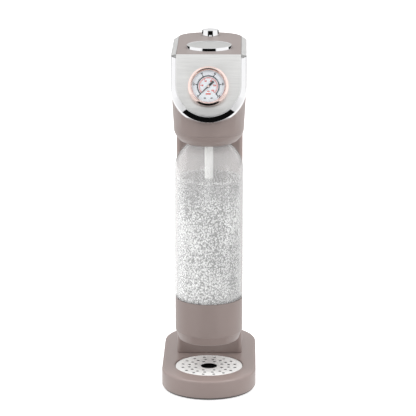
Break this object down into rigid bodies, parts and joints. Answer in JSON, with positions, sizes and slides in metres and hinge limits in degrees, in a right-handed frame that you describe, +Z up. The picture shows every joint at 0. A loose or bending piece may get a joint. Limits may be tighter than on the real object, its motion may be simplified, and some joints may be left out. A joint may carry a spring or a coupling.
{
  "type": "soda carbonator",
  "caption": "Slim countertop machine that carbonates water: bottle under an overhanging head with push button, pressure gauge and drip tray, gas cylinder in the column behind.",
  "frame": {"origin": "centre of the footprint, on the surface the machine stands on", "axes": "+Z up, -Y towards the user (bottle and gauge side), +X to the user's right"},
  "size_m": [0.1222, 0.2402, 0.4513],
  "materials": {
    "taupe_shell": "satin moulded, fine grain",
    "dark_plastic": "matte",
    "rubber_black": "matte",
    "brushed_plate": "fine brushed",
    "polished_steel": "polished",
    "chrome_trim": "mirror",
    "copper_chrome": "mirror, rose tint",
    "brass_fitting": "machined",
    "steel_fitting": "zinc plated",
    "cylinder_alu": "brushed",
    "white_plastic": "translucent white",
    "gauge_face": "printed scale",
    "gauge_glass": "clear",
    "pointer_black": "matte black",
    "clear_bottle": "clear"
  },
  "bodies": {
    "stand": {"base_shell": "taupe_shell", "base_plate": "dark_plastic", "foot_1": "rubber_black", "foot_2": "rubber_black", "foot_3": "rubber_black", "foot_4": "rubber_black", "base_screw_1": "steel_fitting", "base_screw_2": "steel_fitting", "base_screw_3": "steel_fitting", "base_screw_4": "steel_fitting", "column_shell": "taupe_shell", "chassis": "steel_fitting", "cylinder_cradle": "dark_plastic", "valve_block": "brass_fitting", "lever_pin": "steel_fitting", "lever_bracket": "steel_fitting", "head_shell": "taupe_shell", "head_bowl": "taupe_shell", "chrome_hood": "chrome_trim", "front_plate": "brushed_plate", "top_plate": "taupe_shell", "shoulder_right": "brushed_plate", "shoulder_left": "brushed_plate", "carbonation_block": "white_plastic", "neck_gasket": "rubber_black", "nozzle_tube": "white_plastic", "nozzle_tip": "white_plastic", "safety_valve": "brass_fitting", "gas_hose": "dark_plastic", "gauge_hose": "dark_plastic", "vent_hose": "dark_plastic", "button_guide": "dark_plastic", "vent_valve": "white_plastic", "gauge_case": "dark_plastic", "gauge_bezel": "copper_chrome", "gauge_dial": "gauge_face", "gauge_lens": "gauge_glass", "gauge_stem": "brass_fitting", "bourdon_tube": "brass_fitting"},
    "push_button": {"button_cap": "chrome_trim", "button_face": "brushed_plate", "button_stem": "dark_plastic", "button_spring": "steel_fitting"},
    "lever": {"press_lever": "steel_fitting"},
    "plunger": {"valve_plunger": "steel_fitting"},
    "vent_button": {"release_knob": "chrome_trim", "knob_stem": "dark_plastic", "knob_spring": "steel_fitting"},
    "needle": {"pointer": "pointer_black", "pointer_hub": "brass_fitting"},
    "bayonet": {"lock_ring": "steel_fitting"},
    "bottle": {"bottle_body": "clear_bottle", "bottle_cup": "taupe_shell"},
    "tray": {"drip_tray": "dark_plastic", "drip_grille": "polished_steel"},
    "cover": {"rear_cover": "taupe_shell"},
    "gas_cylinder": {"co2_cylinder": "cylinder_alu", "cylinder_valve": "brass_fitting"}
  },
  "joints": [
    {"name": "button_press", "type": "slide", "parent": "stand", "child": "push_button", "axis": [0, 0, -1], "range_m": [0, 0.004], "stiffness_N_per_m": 900, "springref_m": -0.004, "deforming": ["button_spring"]},
    {"name": "lever_pivot", "type": "hinge", "parent": "stand", "child": "lever", "pos_m": [0, 0.073, 0.4115], "axis": [1, 0, 0], "range_deg": [0, 2.5]},
    {"name": "plunger_travel", "type": "slide", "parent": "stand", "child": "plunger", "axis": [0, 0, -1], "range_m": [0, 0.0013]},
    {"name": "vent_press", "type": "slide", "parent": "stand", "child": "vent_button", "axis": [0, 0, -1], "range_m": [0, 0.003], "stiffness_N_per_m": 700, "springref_m": -0.003, "deforming": ["knob_spring"]},
    {"name": "needle_sweep", "type": "hinge", "parent": "stand", "child": "needle", "pos_m": [0, -0.09676, 0.40531], "axis": [0, 0.9135, -0.4067], "range_deg": [0, 270], "stiffness_Nm_per_rad": 0.0002},
    {"name": "bottle_turn", "type": "hinge", "parent": "stand", "child": "bayonet", "pos_m": [0, -0.052, 0.3445], "axis": [0, 0, 1], "range_deg": [0, 60]},
    {"name": "bottle_drop", "type": "slide", "parent": "bayonet", "child": "bottle", "axis": [0, 0, -1], "range_m": [0, 0.02]},
    {"name": "tray_lift", "type": "slide", "parent": "stand", "child": "tray", "axis": [0, 0, 1], "range_m": [0, 0.014]},
    {"name": "cover_slide", "type": "slide", "parent": "stand", "child": "cover", "axis": [0, 1, 0], "range_m": [0, 0.06]},
    {"name": "cylinder_turn", "type": "hinge", "parent": "stand", "child": "gas_cylinder", "pos_m": [0, 0.045, 0.05], "axis": [0, 0, 1], "range_deg": [0, 720]}
  ],
  "couplings": [
    {"joint": "lever_pivot", "follows": "button_press", "rad_per_m": 9.9502},
    {"joint": "plunger_travel", "follows": "button_press", "ratio": 0.2745}
  ]
}
